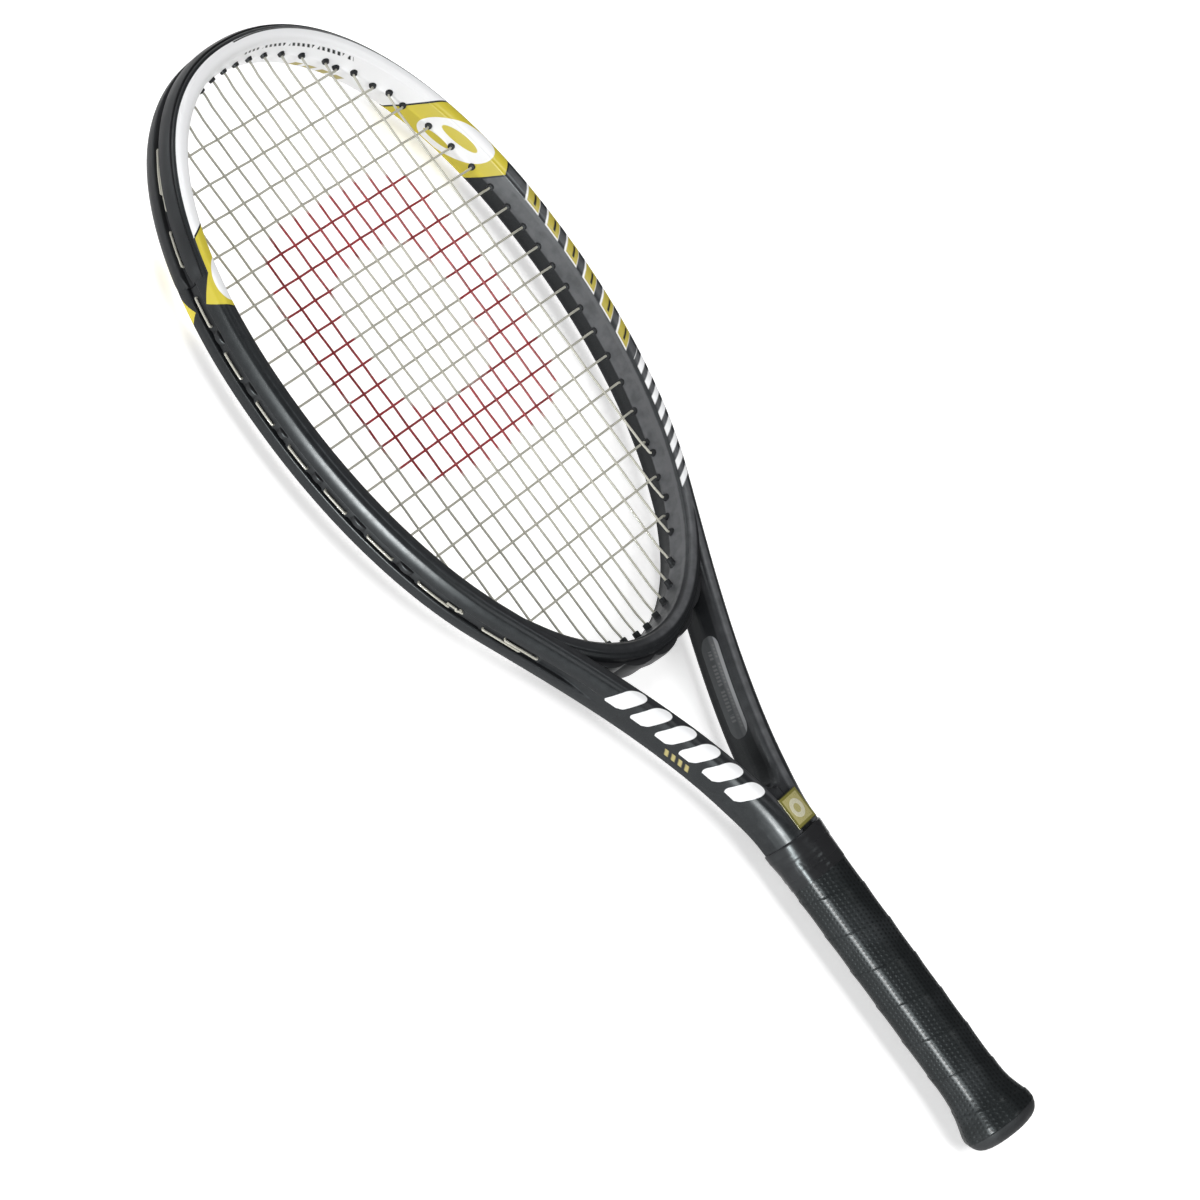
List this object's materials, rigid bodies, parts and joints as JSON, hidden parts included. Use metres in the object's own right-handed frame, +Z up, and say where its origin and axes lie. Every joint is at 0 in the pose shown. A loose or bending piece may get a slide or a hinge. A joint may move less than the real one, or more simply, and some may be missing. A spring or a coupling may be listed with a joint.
{
  "type": "tennis racket",
  "caption": "Strung tennis racket with an oversize graphite hoop, open throat, wrapped octagonal handle and flared butt cap, for hitting tennis balls.",
  "frame": {"origin": "centre of the racket's box at the level of the surface that it lies on", "axes": "+X along the handle towards the butt, +Z up and square to the string plane, the tip of the head points to -X"},
  "size_m": [0.6984, 0.2746, 0.0415],
  "materials": {
    "graphite_lacquer": "clear-lacquered graphite composite with printed panels",
    "black_plastic": "moulded satin nylon",
    "string_nylon": "smooth synthetic gut",
    "handle_foam": "rigid polyurethane foam",
    "cap_rubber": "satin",
    "staple_steel": "plain wire",
    "grip_synthetic": "perforated synthetic leather, slight sheen",
    "tape_vinyl": "stretch vinyl tape",
    "gold_foil": "printed foil label"
  },
  "bodies": {
    "racket": {"frame_hairpin": "graphite_lacquer", "throat_bridge": "graphite_lacquer", "bumper_guard": "black_plastic", "grommet_strip_left": "black_plastic", "grommet_strip_right": "black_plastic", "throat_grommet_strip": "black_plastic", "corner_grommet_left": "black_plastic", "corner_grommet_right": "black_plastic", "main_string": "string_nylon", "cross_string": "string_nylon", "handle_pallet_upper": "handle_foam", "handle_pallet_lower": "handle_foam", "leg_plug_left": "handle_foam", "leg_plug_right": "handle_foam", "butt_cap": "cap_rubber", "butt_staple_upper": "staple_steel", "butt_staple_lower": "staple_steel", "base_grip": "grip_synthetic", "finishing_tape": "tape_vinyl", "grip_collar": "cap_rubber", "throat_badge": "gold_foil"},
    "door": {"butt_cap_door": "black_plastic"}
  },
  "joints": [
    {"name": "door_pull", "type": "slide", "parent": "racket", "child": "door", "axis": [1, 0, 0], "range_m": [0, 0.012]}
  ]
}
